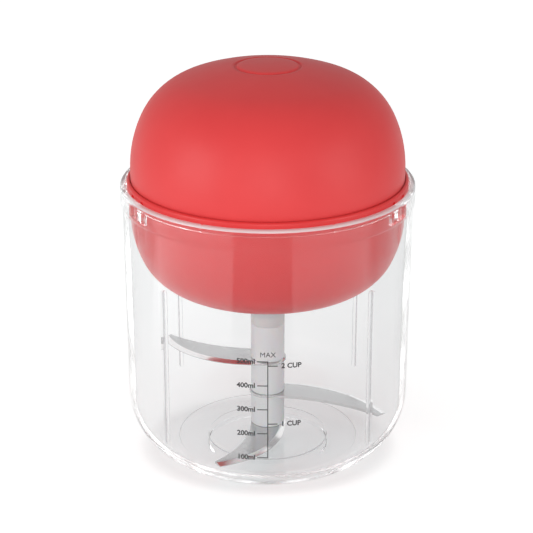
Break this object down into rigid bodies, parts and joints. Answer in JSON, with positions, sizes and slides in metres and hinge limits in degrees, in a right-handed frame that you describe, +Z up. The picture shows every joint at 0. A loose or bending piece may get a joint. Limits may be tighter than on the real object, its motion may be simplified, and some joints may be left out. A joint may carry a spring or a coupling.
{
  "type": "cordless food chopper",
  "caption": "Cordless food chopper: a clear graduated bowl, a blade rotor on a pin and a dome-topped motor head that is pressed to run.",
  "frame": {"origin": "centre of the base on the table, on the blades' axis", "axes": "+Z up along the blades' axis, -Y towards the front with the graduation, +X to the right seen from the front"},
  "size_m": [0.1184, 0.1184, 0.1668],
  "materials": {
    "clear_bowl": "clear polished copolyester, graduation printed in dark grey",
    "stainless_pin": "ground stainless steel",
    "blade_steel": "polished stainless steel with a ground bevel",
    "frosted_hub": "frosted pale grey moulded plastic",
    "bush": "sintered bronze, oiled",
    "coral_shell": "matte soft-touch coral red moulding",
    "coral_lower": "satin coral red moulding",
    "inner_moulding": "black glass-filled nylon",
    "screw_steel": "zinc plated steel",
    "spring_steel": "spring steel wire",
    "dog_plastic": "dark acetal",
    "seal_rubber": "nitrile rubber",
    "gear_plastic": "natural acetal",
    "gear_steel": "sintered steel",
    "motor_case": "zinc plated drawn steel",
    "magnet": "ferrite",
    "lamination": "stacked iron laminations",
    "copper": "copper",
    "cell_wrap": "shrink-wrapped steel can",
    "nickel": "nickel strip",
    "board": "green solder mask",
    "switch_plastic": "black moulding",
    "socket_steel": "nickel plated shell",
    "light_plastic": "diffusing clear plastic",
    "cover_rubber": "coral silicone"
  },
  "bodies": {
    "bowl": {"bowl": "clear_bowl", "pivot_pin": "stainless_pin"},
    "blade_rotor": {"blade_spindle": "frosted_hub", "pivot_bush": "bush", "lower_blade": "blade_steel", "middle_blade": "blade_steel", "upper_blade": "blade_steel", "lower_spacer": "frosted_hub", "middle_spacer": "frosted_hub", "upper_spacer": "frosted_hub", "drive_cap": "frosted_hub"},
    "motor_head": {"lower_housing": "coral_lower", "inner_frame": "inner_moulding", "frame_screws": "screw_steel", "return_springs": "spring_steel", "shaft_seal": "seal_rubber", "output_bush": "bush", "ring_gear": "gear_plastic", "motor_plate": "motor_case", "motor_screws": "screw_steel", "gearbox_screws": "screw_steel", "motor_can": "motor_case", "motor_magnets": "magnet", "motor_bushes": "bush", "motor_end_cap": "inner_moulding", "motor_brushes": "copper", "motor_leads": "copper", "left_cell": "cell_wrap", "right_cell": "cell_wrap", "cell_straps": "nickel", "circuit_board": "board", "board_screws": "screw_steel", "switch_body": "switch_plastic", "charge_board": "board", "charging_socket": "socket_steel", "charge_light": "light_plastic", "cover_pin": "stainless_pin"},
    "press_dome": {"press_dome": "coral_shell"},
    "switch_plunger": {"switch_plunger": "switch_plastic"},
    "port_cover": {"port_cover": "cover_rubber"},
    "output": {"output_shaft": "stainless_pin", "drive_dog": "dog_plastic", "planet_carrier": "gear_steel", "planet_pins": "stainless_pin"},
    "armature": {"armature": "lamination", "motor_shaft": "stainless_pin", "commutator": "copper", "sun_gear": "gear_steel"},
    "planet_1": {"planet_gear_1": "gear_plastic"},
    "planet_2": {"planet_gear_2": "gear_plastic"},
    "planet_3": {"planet_gear_3": "gear_plastic"}
  },
  "joints": [
    {"name": "blade_spin", "type": "hinge", "parent": "bowl", "child": "blade_rotor", "pos_m": [0, 0, 0.02], "axis": [0, 0, 1], "continuous": true},
    {"name": "head_lift", "type": "slide", "parent": "bowl", "child": "motor_head", "axis": [0, 0, 1], "range_m": [0, 0.12]},
    {"name": "dome_press", "type": "slide", "parent": "motor_head", "child": "press_dome", "axis": [0, 0, -1], "range_m": [0, 0.002], "stiffness_N_per_m": 2000, "springref_m": -0.004, "deforming": ["return_springs"]},
    {"name": "switch_press", "type": "slide", "parent": "motor_head", "child": "switch_plunger", "axis": [0, 0, -1], "range_m": [0, 0.002]},
    {"name": "port_cover", "type": "hinge", "parent": "motor_head", "child": "port_cover", "pos_m": [0, 0.054, 0.1261], "axis": [-1, 0, 0], "range_deg": [0, 110]},
    {"name": "output_spin", "type": "hinge", "parent": "motor_head", "child": "output", "pos_m": [0, 0, 0.08], "axis": [0, 0, 1], "continuous": true},
    {"name": "armature_spin", "type": "hinge", "parent": "motor_head", "child": "armature", "pos_m": [0, 0, 0.1], "axis": [0, 0, 1], "continuous": true},
    {"name": "planet_spin_1", "type": "hinge", "parent": "output", "child": "planet_1", "pos_m": [0.0105, 0, 0.086], "axis": [0, 0, 1], "continuous": true},
    {"name": "planet_spin_2", "type": "hinge", "parent": "output", "child": "planet_2", "pos_m": [-0.00525, 0.00909, 0.086], "axis": [0, 0, 1], "continuous": true},
    {"name": "planet_spin_3", "type": "hinge", "parent": "output", "child": "planet_3", "pos_m": [-0.00525, -0.00909, 0.086], "axis": [0, 0, 1], "continuous": true}
  ],
  "couplings": [
    {"joint": "output_spin", "follows": "blade_spin", "ratio": 1},
    {"joint": "armature_spin", "follows": "blade_spin", "ratio": 5},
    {"joint": "switch_press", "follows": "dome_press", "ratio": 1},
    {"joint": "planet_spin_1", "follows": "blade_spin", "ratio": -2.6667},
    {"joint": "planet_spin_2", "follows": "blade_spin", "ratio": -2.6667},
    {"joint": "planet_spin_3", "follows": "blade_spin", "ratio": -2.6667}
  ]
}
